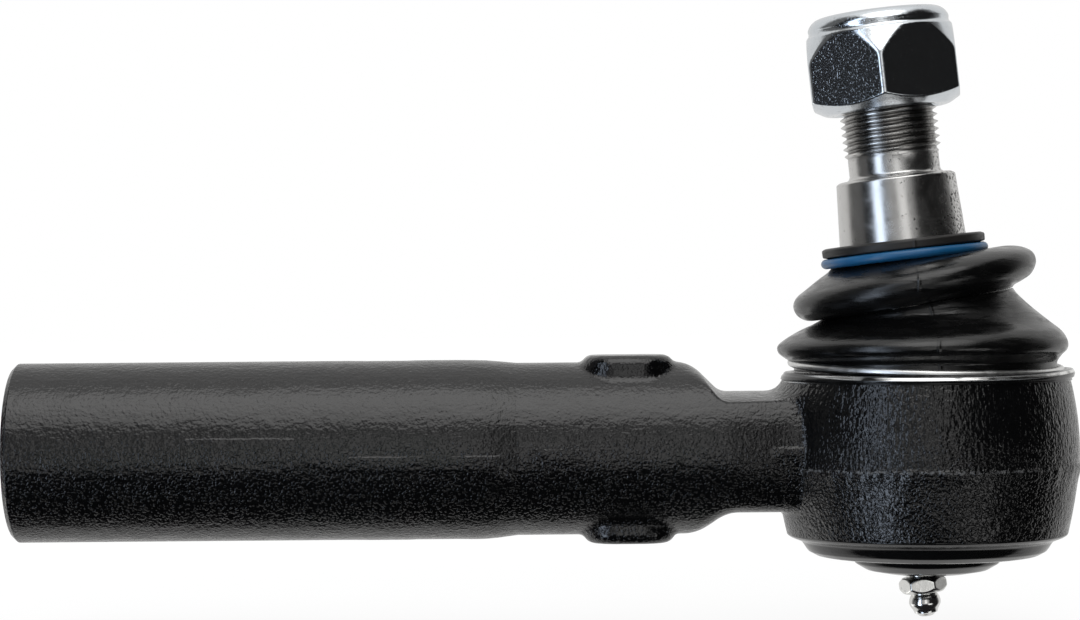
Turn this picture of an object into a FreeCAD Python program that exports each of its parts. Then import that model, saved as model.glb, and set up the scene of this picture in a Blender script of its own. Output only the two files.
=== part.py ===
import FreeCAD, Part
import math
import os
from FreeCAD import Vector

# Tie rod end: a forged housing with a threaded shank, and a tapered ball stud that swings in it.
# Millimetres. The origin is the ball's centre, +Z is the housing's axis towards the stud, and the
# shank runs along -X. The stud leans towards the shank, as it is stored.
# Outlines are lists of (radius, height) about an axis, and go round the section once.

# Ball stud. Heights are distances from the ball's centre along the stud's own axis.
stud_lean = 6.0
ball_radius = 17.0
ball_flat_height = -15.5
neck_radius = 9.5
neck_top = 30.0
taper_start = 39.5
taper_top = 55.4
taper_big_radius = 13.15
taper_slope = 1 / 16
taper_edge = 0.8
relief_radius = 9.3
relief_top = 59.6
thread_radius = 10.0
thread_pitch = 1.5
stud_tip = 87.0
tip_chamfer = 1.4

# Lock nut on the stud: hexagon below, round collar with the nylon ring above.
nut_bottom = 69.3
nut_height = 20.2
nut_flats = 30.0
nut_turned = -2.5
nut_hex_height = 14.6
nut_bore_radius = 10.05
nut_bottom_chamfer = 1.6
nut_top_cone_height = 7.0
collar_radius = 14.2
collar_edge = 2.4
collar_mouth_radius = 10.6
nylon_radius = 12.4
nylon_height = 3.2
nylon_top_gap = 1.6

# Housing: a turned and forged cup about Z.
lip_radius = 29.6
lip_top = 15.2
lip_thickness = 1.0
belly_radius = 31.2
parting_height = -1.5
foot_radius = 28.7
foot_height = -18.2
rolled_edge_bottom = -23.2
rolled_edge_inner_radius = 19.5
spigot_radius = 24.5
spigot_top = 17.8
opening_radius = 16.6
opening_height = 11.5
opening_slope = 0.488
socket_radius = 20.5
cover_seat_height = -18.6
cover_seat_radius = 23.0
seal_groove = (20.9, 22.5, 1.2)

# Shank along -X, with a female thread from its open end.
shank_end = -187.3
shank_turned_radius = 18.4
shank_turned_to = -89.7
shank_forged_from = -85.6
shank_forged_radius = 17.68
shank_chamfer = 1.0
bore_radius = 11.19
bore_depth = 100.0
bore_chamfer = 1.2
drill_point = 6.5
pad_centre = -60.8
pad_length = 20.0
pad_width = 20.6
pad_half_height = 19.25
pad_corner = 6.0
pad_edge = 1.0
shank_root = -20.0

# Bearing shells, spring, cover and seal inside the housing.
running_gap = 0.05
upper_seat_bottom = 0.3
upper_seat_contact_top = 8.5
lower_seat_top = -1.5
lower_seat_bottom = -15.0
lower_seat_hole = 9.0
spring_outer_radius = 19.5
spring_inner_radius = 10.5
spring_thickness = 1.8
cover_thickness = 2.2
cover_dome_radius = 14.4
cover_dome_bottom = -26.3
cover_crown_radius = 9.0
cover_boss_top = -22.6

# Rubber boot. Each ring is (centre x, centre z, radius, lean in degrees).
boot_wall = 2.0
boot_collar_radius = 27.0
boot_collar_top = 17.7
boot_groove_radius = 26.0
boot_rings = (
    (0.0, boot_collar_top, 27.0, 0.0),
    (-0.3, 19.2, 29.2, 0.5),
    (-0.5, 20.9, 29.7, 1.0),
    (-1.0, 22.7, 28.4, 2.5),
    (-2.4, 29.0, 20.4, 9.6),
    (-2.6, 30.6, 23.8, 10.0),
    (-2.3, 33.0, 25.2, 10.1),
    (-2.8, 35.2, 23.4, 9.5),
)
boot_head_bottom = 37.9
boot_head_top = 42.4
boot_head_radius = 16.2
boot_head_bore = 13.25
boot_lip_radius = 16.6
boot_lip_thickness = 1.9
upper_ring_centre = 39.3
upper_ring_radius = 16.15
upper_ring_wire = 1.05
lower_ring_height = 16.6
lower_ring_radius = 26.75
lower_ring_wire = 0.7

# Grease nipple, screwed into the cover. Heights are measured outwards from its seat on the cover.
nipple_lean = 6.0
nipple_seat = (-1.1, -26.35)
nipple_thread_radius = 3.98
nipple_thread_length = 4.2
nipple_collar_radius = 3.1
nipple_collar_height = 0.6
nipple_flats = 9.0
nipple_hex_top = 3.9
nipple_neck_radius = 2.3
nipple_head_radius = 3.25
nipple_head_widest = 5.9
nipple_tip_radius = 1.6
nipple_tip = 8.9
nipple_bore_radius = 1.3
nipple_mouth_radius = 0.85
nipple_valve_seat = 8.0
check_ball_radius = 1.25
check_ball_height = 7.0
nipple_spring_wire = 0.2
nipple_spring_turns = 4

up = Vector(0, 0, 1)
origin = Vector(0, 0, 0)


def turned(outline):
    """Solid of revolution about Z from a closed outline of (radius, height) points."""
    points = [Vector(radius, 0, height) for radius, height in outline]
    face = Part.Face(Part.makePolygon(points + points[:1]))
    return face.revolve(origin, up, 360)


def on_stud(shape):
    """Lean a shape built about Z onto the stud's axis."""
    return shape.rotated(origin, Vector(0, 1, 0), -stud_lean)


def on_nipple(shape):
    """Turn a shape built upwards about Z onto the nipple's axis, which points down."""
    seated = shape.rotated(origin, Vector(0, 1, 0), 180 - nipple_lean)
    return seated.translated(Vector(nipple_seat[0], 0, nipple_seat[1]))


def hexagon(flats, height, bottom, turn):
    """Hexagonal prism about Z with one corner towards -Y, then turned by some degrees."""
    corner = flats / math.sqrt(3)
    angles = [math.radians(60 * side - 90 + turn) for side in range(6)]
    points = [Vector(corner * math.cos(a), corner * math.sin(a), bottom) for a in angles]
    return Part.Face(Part.makePolygon(points + points[:1])).extrude(up * height)


def make_ball_stud():
    ball = Part.makeSphere(ball_radius)
    below = Part.makeCylinder(ball_radius, ball_radius, Vector(0, 0, ball_flat_height - ball_radius))
    taper_top_radius = taper_big_radius - (taper_top - taper_start) * taper_slope
    stem = turned([
        (0, 0),
        (neck_radius, 0),
        (neck_radius, neck_top),
        (taper_big_radius - 0.6, taper_start - 2.0),
        (taper_big_radius, taper_start),
        (taper_top_radius, taper_top - taper_edge),
        (taper_top_radius - taper_edge, taper_top),
        (relief_radius, taper_top),
        (relief_radius, relief_top),
        (thread_radius, relief_top + thread_radius - relief_radius),
        (thread_radius, stud_tip - tip_chamfer),
        (thread_radius - tip_chamfer, stud_tip),
        (0, stud_tip),
    ])
    return on_stud(ball.cut(below).fuse(stem).removeSplitter())


def make_lock_nut():
    corner = nut_flats / math.sqrt(3)
    flat = nut_flats / 2
    hex_top = nut_bottom + nut_hex_height
    prism = hexagon(nut_flats, nut_hex_height, nut_bottom, nut_turned)
    chamfers = turned([
        (0, nut_bottom),
        (flat - 0.6, nut_bottom),
        (corner, nut_bottom + nut_bottom_chamfer),
        (corner, hex_top - nut_top_cone_height),
        (flat - 0.3, hex_top),
        (0, hex_top),
    ])
    top = nut_bottom + nut_height
    collar = turned([
        (0, hex_top - 1),
        (collar_radius - 0.4, hex_top - 1),
        (collar_radius - 0.4, hex_top + 0.5),
        (collar_radius, hex_top + 1.2),
        (collar_radius, top - collar_edge),
        (collar_radius - 0.7, top - 0.7),
        (collar_radius - collar_edge, top),
        (0, top),
    ])
    nylon_top = top - nylon_top_gap
    hole = turned([
        (0, nut_bottom - 1),
        (nut_bore_radius + 1.8, nut_bottom - 1),
        (nut_bore_radius, nut_bottom + 0.8),
        (nut_bore_radius, nylon_top - nylon_height),
        (nylon_radius, nylon_top - nylon_height),
        (nylon_radius, nylon_top),
        (collar_mouth_radius, nylon_top),
        (collar_mouth_radius, top + 1),
        (0, top + 1),
    ])
    return on_stud(prism.common(chamfers).fuse(collar).cut(hole).removeSplitter())


def make_nut_nylon_ring():
    top = nut_bottom + nut_height - nylon_top_gap
    outer = nylon_radius - running_gap
    return on_stud(turned([
        (nut_bore_radius, top - nylon_height + running_gap),
        (outer, top - nylon_height + running_gap),
        (outer, top - running_gap),
        (nut_bore_radius + 0.5, top - running_gap),
        (nut_bore_radius, top - 0.6),
    ]))


def housing_cup():
    """Outside of the cup, with the spigot that carries the boot and the rolled lower edge."""
    below_lip = lip_top - lip_thickness
    return turned([
        (0, spigot_top),
        (spigot_radius, spigot_top),
        (spigot_radius, lip_top),
        (lip_radius, lip_top),
        (lip_radius, below_lip),
        (lip_radius - 0.3, below_lip - 0.5),
        (belly_radius, parting_height),
        (belly_radius - 0.15, parting_height - 0.6),
        (foot_radius, foot_height),
        (25.7, -19.4),
        (24.6, -20.9),
        (23.0, -22.6),
        (21.8, rolled_edge_bottom),
        (0, rolled_edge_bottom),
    ])


def housing_inside():
    """Everything turned out of the cup: stud opening, socket, seal groove and cover seat."""
    top = spigot_top + 1
    groove_inner, groove_outer, groove_depth = seal_groove
    return turned([
        (0, top),
        (opening_radius + (top - opening_height) * opening_slope, top),
        (opening_radius, opening_height),
        (socket_radius, opening_height),
        (socket_radius, cover_seat_height),
        (groove_inner, cover_seat_height),
        (groove_inner, cover_seat_height + groove_depth),
        (groove_outer, cover_seat_height + groove_depth),
        (groove_outer, cover_seat_height),
        (cover_seat_radius, cover_seat_height),
        (cover_seat_radius, cover_seat_height - cover_thickness),
        (rolled_edge_inner_radius, cover_seat_height - cover_thickness),
        (rolled_edge_inner_radius, rolled_edge_bottom - 1),
        (0, rolled_edge_bottom - 1),
    ])


def along_shank(outline):
    """Solid of revolution about X from a closed outline of (radius, x) points."""
    points = [Vector(x, 0, radius) for radius, x in outline]
    face = Part.Face(Part.makePolygon(points + points[:1]))
    return face.revolve(origin, Vector(1, 0, 0), 360)


def shank_body():
    """Turned and forged shank, flattened above and below where it necks down to the cup."""
    bar = along_shank([
        (0, shank_end),
        (shank_turned_radius - shank_chamfer, shank_end),
        (shank_turned_radius, shank_end + shank_chamfer),
        (shank_turned_radius, shank_turned_to),
        (shank_forged_radius, shank_forged_from),
        (shank_forged_radius, shank_root),
        (0, shank_root),
    ])
    side = [
        (shank_end, shank_turned_radius),
        (-51.0, shank_turned_radius),
        (-47.1, 15.7),
        (-43.2, 12.1),
        (-39.9, 11.5),
        (-31.8, 11.5),
        (shank_root, 11.5),
        (shank_root, -13.3),
        (-37.3, -13.3),
        (-42.6, -14.2),
        (-46.5, -16.8),
        (-51.0, -shank_turned_radius),
        (shank_end, -shank_turned_radius),
    ]
    points = [Vector(x, -shank_turned_radius, z) for x, z in side]
    plate = Part.Face(Part.makePolygon(points + points[:1])).extrude(Vector(0, 2 * shank_turned_radius, 0))
    return bar.common(plate)


def spanner_pads():
    """Two raised pads, above and below the shank, with rounded corners and eased edges."""
    corner = Vector(pad_centre - pad_length / 2, -pad_width / 2, -pad_half_height)
    block = Part.makeBox(pad_length, pad_width, 2 * pad_half_height, corner)
    uprights = [e for e in block.Edges if abs(e.CenterOfMass.z) < 0.01]
    rounded = block.makeFillet(pad_corner, uprights)
    rims = [e for e in rounded.Edges if abs(abs(e.CenterOfMass.z) - pad_half_height) < 0.01]
    return rounded.makeChamfer(pad_edge, rims)


def shank_bore():
    """Female thread, taken at its minor diameter, with a countersunk mouth and a drill point."""
    floor = shank_end + bore_depth
    return along_shank([
        (0, shank_end - 1),
        (bore_radius + bore_chamfer + 1, shank_end - 1),
        (bore_radius, shank_end + bore_chamfer),
        (bore_radius, floor),
        (0, floor + drill_point),
    ])


def make_housing():
    body = housing_cup().fuse([shank_body(), spanner_pads()])
    return body.cut([housing_inside(), shank_bore()]).removeSplitter()


def make_upper_seat():
    shell = turned([
        (0, upper_seat_bottom),
        (socket_radius, upper_seat_bottom),
        (socket_radius, opening_height),
        (opening_radius, opening_height),
        (math.sqrt(ball_radius ** 2 - upper_seat_contact_top ** 2), upper_seat_contact_top),
        (0, upper_seat_contact_top),
    ])
    return shell.cut(Part.makeSphere(ball_radius + running_gap))


def make_lower_seat():
    outer = socket_radius - running_gap
    cup = turned([
        (lower_seat_hole, lower_seat_bottom),
        (outer - 1, lower_seat_bottom),
        (outer, lower_seat_bottom + 1),
        (outer, lower_seat_top),
        (lower_seat_hole, lower_seat_top),
    ])
    return cup.cut(Part.makeSphere(ball_radius + running_gap))


def make_preload_spring():
    """Disc spring: its rim stands on the cover and its inner edge carries the lower seat."""
    bottom = cover_seat_height + running_gap
    top = lower_seat_bottom - running_gap
    return turned([
        (spring_inner_radius, top - spring_thickness),
        (spring_outer_radius, bottom),
        (spring_outer_radius, bottom + spring_thickness),
        (spring_inner_radius, top),
    ])


def make_cover_plate():
    """Pressed cover, held by the housing's rolled edge, with a thicker centre for the nipple."""
    rim_bottom = cover_seat_height - cover_thickness
    plate = turned([
        (0, cover_boss_top),
        (8.0, cover_boss_top),
        (12.0, cover_boss_top + 0.4),
        (15.0, cover_seat_height),
        (cover_seat_radius - running_gap, cover_seat_height),
        (cover_seat_radius - running_gap, rim_bottom),
        (17.0, rim_bottom),
        (cover_dome_radius + 0.6, rim_bottom - 1.2),
        (cover_dome_radius, rolled_edge_bottom - 0.4),
        (12.2, -24.8),
        (cover_crown_radius, -25.8),
        (5.0, cover_dome_bottom),
        (0, cover_dome_bottom),
    ])
    hole = Part.makeCylinder(nipple_thread_radius + running_gap, 12, Vector(0, 0, -8))
    return plate.cut(on_nipple(hole))


def make_cover_seal():
    inner, outer, depth = seal_groove
    edge = 0.35
    low = cover_seat_height + 0.01
    high = cover_seat_height + depth - running_gap
    left = inner + running_gap
    right = outer - running_gap
    return turned([
        (left + edge, low),
        (right - edge, low),
        (right, low + edge),
        (right, high - edge),
        (right - edge, high),
        (left + edge, high),
        (left, high - edge),
        (left, low + edge),
    ])


def boot_loft(inset):
    """The folds between the boot's two collars, shrunk by inset."""
    head_x = -boot_head_bottom * math.sin(math.radians(stud_lean))
    head_z = boot_head_bottom * math.cos(math.radians(stud_lean))
    rings = boot_rings + ((head_x, head_z, boot_head_radius, stud_lean),)
    wires = []
    for x, z, radius, lean in rings:
        normal = Vector(-math.sin(math.radians(lean)), 0, math.cos(math.radians(lean)))
        wires.append(Part.Wire(Part.makeCircle(radius - inset, Vector(x, 0, z), normal)))
    return Part.makeLoft(wires, True, True)


def make_boot():
    folds = boot_loft(0).cut(boot_loft(boot_wall))
    collar = turned([
        (spigot_radius + running_gap, lip_top + running_gap),
        (boot_collar_radius, lip_top + running_gap),
        (boot_groove_radius, lower_ring_height - lower_ring_wire),
        (boot_groove_radius, lower_ring_height + lower_ring_wire),
        (boot_collar_radius, boot_collar_top),
        (spigot_radius + running_gap, boot_collar_top),
    ])
    groove = upper_ring_radius - upper_ring_wire - running_gap
    lip_bottom = boot_head_top - boot_lip_thickness
    head = on_stud(turned([
        (boot_head_bore, boot_head_bottom),
        (boot_head_radius, boot_head_bottom),
        (groove, upper_ring_centre - upper_ring_wire + 0.2),
        (groove, lip_bottom),
        (boot_lip_radius, lip_bottom),
        (boot_lip_radius, boot_head_top),
        (boot_head_bore, boot_head_top),
    ]))
    return folds.fuse([collar, head]).removeSplitter()


def make_boot_lower_ring():
    return Part.makeTorus(lower_ring_radius, lower_ring_wire, Vector(0, 0, lower_ring_height))


def make_boot_upper_ring():
    centre = Vector(0, 0, upper_ring_centre)
    return on_stud(Part.makeTorus(upper_ring_radius, upper_ring_wire, centre))


def make_grease_nipple():
    hex_bottom = nipple_collar_height
    corner = nipple_flats / math.sqrt(3)
    prism = hexagon(nipple_flats, nipple_hex_top - hex_bottom, hex_bottom, 12.0)
    chamfers = turned([
        (0, hex_bottom),
        (corner - 0.7, hex_bottom),
        (corner, hex_bottom + 0.5),
        (corner, nipple_hex_top - 0.5),
        (corner - 0.7, nipple_hex_top),
        (0, nipple_hex_top),
    ])
    stem = turned([
        (0, -nipple_thread_length),
        (nipple_thread_radius - 0.6, -nipple_thread_length),
        (nipple_thread_radius, -nipple_thread_length + 0.6),
        (nipple_thread_radius, -0.3),
        (nipple_collar_radius, 0),
        (nipple_collar_radius, nipple_hex_top),
        (nipple_neck_radius, nipple_hex_top + 0.5),
        (nipple_head_radius, nipple_head_widest - 0.5),
        (nipple_head_radius, nipple_head_widest + 0.5),
        (nipple_tip_radius, nipple_tip),
        (0, nipple_tip),
    ])
    passage = turned([
        (0, -nipple_thread_length - 1),
        (nipple_bore_radius, -nipple_thread_length - 1),
        (nipple_bore_radius, nipple_valve_seat - 0.55),
        (nipple_mouth_radius, nipple_valve_seat),
        (nipple_mouth_radius, nipple_tip + 1),
        (0, nipple_tip + 1),
    ])
    return on_nipple(prism.common(chamfers).fuse(stem).cut(passage).removeSplitter())


def make_nipple_check_ball():
    return on_nipple(Part.makeSphere(check_ball_radius, Vector(0, 0, check_ball_height)))


def make_nipple_spring():
    """Coil spring that holds the check ball against its seat."""
    top = check_ball_height - check_ball_radius - nipple_spring_wire - running_gap
    bottom = -nipple_thread_length + 1.0
    mean_radius = nipple_bore_radius - running_gap - nipple_spring_wire
    helix = Part.makeHelix((top - bottom) / nipple_spring_turns, top - bottom, mean_radius)
    section = Part.Wire(Part.makeCircle(nipple_spring_wire, Vector(mean_radius, 0, 0), Vector(0, 1, 0)))
    coil = Part.Wire(helix.Edges).makePipeShell([section], True, True)
    return on_nipple(Part.Solid(coil).translated(Vector(0, 0, bottom)))


pieces = {
    "housing": make_housing,
    "ball_stud": make_ball_stud,
    "upper_seat": make_upper_seat,
    "lower_seat": make_lower_seat,
    "preload_spring": make_preload_spring,
    "cover_plate": make_cover_plate,
    "cover_seal": make_cover_seal,
    "boot": make_boot,
    "boot_lower_ring": make_boot_lower_ring,
    "boot_upper_ring": make_boot_upper_ring,
    "lock_nut": make_lock_nut,
    "nut_nylon_ring": make_nut_nylon_ring,
    "grease_nipple": make_grease_nipple,
    "nipple_check_ball": make_nipple_check_ball,
    "nipple_spring": make_nipple_spring,
}

os.makedirs("parts", exist_ok=True)
for node, make in pieces.items():
    shape = make()
    print(f"{node}: {len(shape.Solids)} solid, {shape.Volume / 1000:.2f} cm3, valid {shape.isValid()}")
    shape.exportStep(f"parts/{node}.step")
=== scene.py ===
import math

import bmesh
import bpy
import numpy as np
from mathutils import Matrix, Vector


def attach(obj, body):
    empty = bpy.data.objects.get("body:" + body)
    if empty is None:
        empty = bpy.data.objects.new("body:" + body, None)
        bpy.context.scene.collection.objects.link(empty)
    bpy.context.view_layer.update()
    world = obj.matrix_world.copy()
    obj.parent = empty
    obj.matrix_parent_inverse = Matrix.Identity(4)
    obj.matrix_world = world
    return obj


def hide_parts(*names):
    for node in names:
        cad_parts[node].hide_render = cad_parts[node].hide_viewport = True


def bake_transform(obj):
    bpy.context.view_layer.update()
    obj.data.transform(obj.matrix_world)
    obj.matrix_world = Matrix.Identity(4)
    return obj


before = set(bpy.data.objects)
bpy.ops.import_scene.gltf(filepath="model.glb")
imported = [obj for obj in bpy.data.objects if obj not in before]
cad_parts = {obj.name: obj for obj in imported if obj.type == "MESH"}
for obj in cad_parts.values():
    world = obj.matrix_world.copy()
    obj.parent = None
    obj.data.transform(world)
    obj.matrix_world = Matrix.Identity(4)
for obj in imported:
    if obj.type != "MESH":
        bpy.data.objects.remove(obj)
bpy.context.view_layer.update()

# Shapes are worked out in millimetres: origin at the ball's centre, +Z the housing's axis towards the
# stud, the shank along -X, the front towards -Y. They turn into metres when a mesh is made.
MM = 0.001
TURN = 2 * math.pi
FRONT = -math.pi / 2
MERGE = 0.0005  # millimetres within which points of a skin become one
STUD_LEAN = math.radians(6.0)
STUD_AXIS = np.array([-math.sin(STUD_LEAN), 0.0, math.cos(STUD_LEAN)])
LIP_SAG = 1.05  # how far the front edge of the housing's lip dips

bpy.context.scene.view_settings.view_transform = "Standard"


# ---------------------------------------------------------------- outlines and turned surfaces

SUPPORT = 0.12  # straight left beside a fillet, so that shading stays on the fillet
ARC_STEP = math.radians(11)
NEARLY_STRAIGHT = math.radians(89)
SIDE_SHARE = 0.48  # the most of a side that one fillet takes


def fade(value, none, full):
    """0 where the value is at none or before it, 1 from full on, straight between."""
    return np.clip((value - none) / (full - none), 0, 1)


def smooth_step(share):
    """A share from 0 to 1 with its two ends eased."""
    return share * share * (3 - 2 * share)


def hump(over, above, below):
    """1 at over = 0, dying away within those distances above and below it."""
    return np.exp(-(over / np.where(over > 0, above, below)) ** 2)


def rounded(corners):
    """Points (r, z) of an outline given as (r, z, fillet) corners, each corner turned on its fillet."""
    sharp = [np.array(c[:2], float) for c in corners]
    out = [sharp[0]]
    for i in range(1, len(sharp) - 1):
        fillet = corners[i][2] if len(corners[i]) > 2 else 0.0
        back, ahead = sharp[i - 1] - sharp[i], sharp[i + 1] - sharp[i]
        long_back, long_ahead = np.linalg.norm(back), np.linalg.norm(ahead)
        back, ahead = back / long_back, ahead / long_ahead
        half = math.acos(float(np.clip(back @ ahead, -1, 1))) / 2
        if fillet <= 0 or half > NEARLY_STRAIGHT:
            out.append(sharp[i])
            continue
        reach = min(fillet / math.tan(half), SIDE_SHARE * long_back, SIDE_SHARE * long_ahead)
        radius = reach * math.tan(half)
        middle = (back + ahead) / np.linalg.norm(back + ahead)
        centre = sharp[i] + middle * radius / math.sin(half)
        spoke = sharp[i] + back * reach - centre
        sweep = math.pi - 2 * half
        side = -np.sign(back[0] * ahead[1] - back[1] * ahead[0])
        if reach + SUPPORT < 0.5 * long_back:
            out.append(sharp[i] + back * (reach + SUPPORT))
        steps = max(2, math.ceil(sweep / ARC_STEP))
        for k in range(steps + 1):
            a = side * sweep * k / steps
            turned = (spoke[0] * math.cos(a) - spoke[1] * math.sin(a),
                      spoke[0] * math.sin(a) + spoke[1] * math.cos(a))
            out.append(centre + turned)
        if reach + SUPPORT < 0.5 * long_ahead:
            out.append(sharp[i] + ahead * (reach + SUPPORT))
    out.append(sharp[-1])
    return np.array(out)


def columns(count, close=(), reach=0.0, extra=0):
    """Angles once round, ending where they start, with more of them within reach of the close angles."""
    angles = [TURN * k / count for k in range(count + 1)]
    for middle in close:
        near = [middle + reach * (2 * k / max(1, extra - 1) - 1) for k in range(extra)]
        angles += [a % TURN for a in near]
    return np.array(sorted(set(round(a, 9) for a in angles)))


LONGEST_RUN, RUN_PIECE = 3.0, 2.0


def subdivided(outline):
    """The outline with its long runs cut into pieces."""
    out = [outline[0]]
    for p in outline[1:]:
        start = out[-1]
        gap = abs(p[1] - start[1])
        if gap > LONGEST_RUN:
            pieces = math.ceil(gap / RUN_PIECE)
            out += [start + (p - start) * k / pieces for k in range(1, pieces)]
        out.append(p)
    return np.array(out)


def lathe(outline, angles, swell=None):
    """Rings of points about Z. swell(radius, angles, height) may alter the radius."""
    radius = np.repeat(outline[:, :1], len(angles), 1)
    height = np.repeat(outline[:, 1:2], len(angles), 1)
    around = np.repeat(angles[None], len(outline), 0)
    if swell:
        radius = swell(radius, around, height)
    return np.stack([radius * np.cos(around), radius * np.sin(around), height], -1)


# Thread forms: (part of one pitch, share of the thread's depth that stands there).
THREAD_FORM = ((0.0, 1.0), (0.05, 0.98), (0.08, 0.9), (0.36, 0.05), (0.41, 0.0), (0.59, 0.0), (0.64, 0.05),
               (0.92, 0.9), (0.95, 0.98))
BORE_FORM = ((0.0, 1.0), (0.06, 0.96), (0.36, 0.03), (0.5, 0.0), (0.64, 0.03), (0.94, 0.96))


def screw(angles, bottom, top, pitch, form, radius_at):
    """Rings of a right-hand thread whose rows follow the helix, with radius_at(height, share of depth)."""
    rings = []
    first = math.floor(bottom / pitch) - 1
    last = math.ceil(top / pitch) + 1
    for turn in range(first, last):
        for part, share in form:
            height = np.clip(pitch * (turn + part + angles / TURN), bottom, top)
            radius = radius_at(height, share)
            rings.append(np.stack([radius * np.cos(angles), radius * np.sin(angles), height], -1))
    return np.array(rings)


def on_stud(points):
    """From heights along Z to heights along the leaning stud."""
    x, y, z = points[..., 0], points[..., 1], points[..., 2]
    across, along = math.cos(STUD_LEAN), math.sin(STUD_LEAN)
    return np.stack([x * across - z * along, y, x * along + z * across], -1)


def along_shank(points):
    """From heights along Z to places along +X."""
    return np.stack([points[..., 2], points[..., 0], points[..., 1]], -1)


def mesh_of(name, points, faces):
    """Mesh in metres from points in millimetres."""
    mesh = bpy.data.meshes.new(name)
    mesh.from_pydata((np.asarray(points) * MM).tolist(), [], np.asarray(faces).tolist())
    return mesh


def skin(name, rings, sharp=38.0, closed=False):
    """Mesh from rings of points: neighbours are joined, and points in one place become one."""
    rings = np.asarray(rings)
    if closed:
        rings = np.concatenate([rings, rings[:1]])
    count, around = rings.shape[:2]
    index = np.arange(count * around).reshape(count, around)
    quads = np.stack([index[:-1, :-1], index[:-1, 1:], index[1:, 1:], index[1:, :-1]], -1).reshape(-1, 4)
    mesh = mesh_of(name, rings.reshape(-1, 3), quads)
    work = bmesh.new()
    work.from_mesh(mesh)
    bmesh.ops.remove_doubles(work, verts=work.verts, dist=MERGE * MM)
    bmesh.ops.recalc_face_normals(work, faces=work.faces)
    work.to_mesh(mesh)
    work.free()
    mesh.shade_smooth()
    mesh.set_sharp_from_angle(angle=math.radians(sharp))
    return mesh


# ---------------------------------------------------------------- carved solids

def smooth_min(a, b, blend):
    """Joins two solids, with a fillet of about the blend's size."""
    share = np.clip(0.5 + 0.5 * (b - a) / blend, 0, 1)
    return b + (a - b) * share - blend * share * (1 - share)


def smooth_max(a, b, blend):
    """What two solids have in common, with its edge rounded."""
    return -smooth_min(-a, -b, blend)


def rounded_corner(a, b, radius):
    """Distance to a corner of that radius, from the distances a and b past its centre's two sides."""
    return np.sqrt(np.maximum(a, 0) ** 2 + np.maximum(b, 0) ** 2) + np.minimum(np.maximum(a, b), 0) - radius


def hexagon_at(x, y, flat_at, first_angle, blend):
    """Distance to a hexagonal bar whose flats stand flat_at from its axis."""
    bar = None
    for k in range(3):
        a = math.radians(60 * k) + first_angle
        flat = np.abs(x * math.cos(a) + y * math.sin(a)) - flat_at
        bar = flat if bar is None else smooth_max(bar, flat, blend)
    return bar


SLOPE_REACH = 0.03  # millimetres to each side over which a field's slope is measured
LEAST_SLOPE = 0.3
RELAXATIONS, CORRECTIONS = 3, 2


def slope_of(field, p):
    """Gradient of a field at the points p."""
    out = np.empty_like(p)
    for axis in range(3):
        move = np.zeros(3)
        move[axis] = SLOPE_REACH
        out[:, axis] = (field(*(p + move).T) - field(*(p - move).T)) / (2 * SLOPE_REACH)
    return out


CORNERS = [(i, j, k) for i in (0, 1) for j in (0, 1) for k in (0, 1)]


def crossing_points(value, cells):
    """For each cell, in cells, the mean of the places where the field changes sign along its edges."""
    total, hits = np.zeros((len(cells), 3)), np.zeros((len(cells), 1))
    for a in CORNERS:
        for axis in range(3):
            if a[axis]:
                continue
            b = tuple(1 if n == axis else a[n] for n in range(3))
            va = value[tuple((cells + a).T)]
            vb = value[tuple((cells + b).T)]
            cut = (va < 0) != (vb < 0)
            t = np.where(cut, va / np.where(cut, va - vb, 1), 0)
            place = np.array(a, float) + t[:, None] * (np.array(b, float) - a)
            total += np.where(cut[:, None], place, 0)
            hits += cut[:, None]
    return cells + total / hits


def crossing_faces(inside, index):
    """A quad for each grid edge that passes through the surface, round the four cells at that edge."""
    faces = []
    for axis in range(3):
        u, v = [n for n in range(3) if n != axis]
        front = [slice(1, -1)] * 3
        back = [slice(1, -1)] * 3
        front[axis], back[axis] = slice(None, -1), slice(1, None)
        start, end = inside[tuple(front)], inside[tuple(back)]
        edges = np.argwhere(start != end)
        outward = start[tuple(edges.T)]
        ring = []
        for du, dv in ((0, 0), (1, 0), (1, 1), (0, 1)):
            cell = edges.copy()
            cell[:, u] += du
            cell[:, v] += dv
            ring.append(index[tuple(cell.T)])
        quad = np.stack(ring, 1)
        backward = outward if axis == 1 else ~outward
        quad[backward] = quad[backward][:, ::-1]
        faces.append(quad)
    return np.concatenate(faces)


def settled(field, points, faces):
    """The points evened out among their neighbours and brought back to the surface, a few times."""
    ends = np.concatenate([faces, np.roll(faces, -1, 1)], 1).reshape(-1, 2, 4)
    one, two = ends[:, 0].ravel(), ends[:, 1].ravel()
    count = len(points)
    degree = np.bincount(one, minlength=count) + np.bincount(two, minlength=count)
    for _ in range(RELAXATIONS):
        mean = np.stack([
            np.bincount(one, points[two, n], count) + np.bincount(two, points[one, n], count)
            for n in range(3)], 1) / degree[:, None]
        points = points + 0.5 * (mean - points)
        for _ in range(CORRECTIONS):
            g = slope_of(field, points)
            size = np.maximum((g * g).sum(1), LEAST_SLOPE ** 2)
            points = points - g * (field(*points.T) / size)[:, None]
    return points


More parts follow.
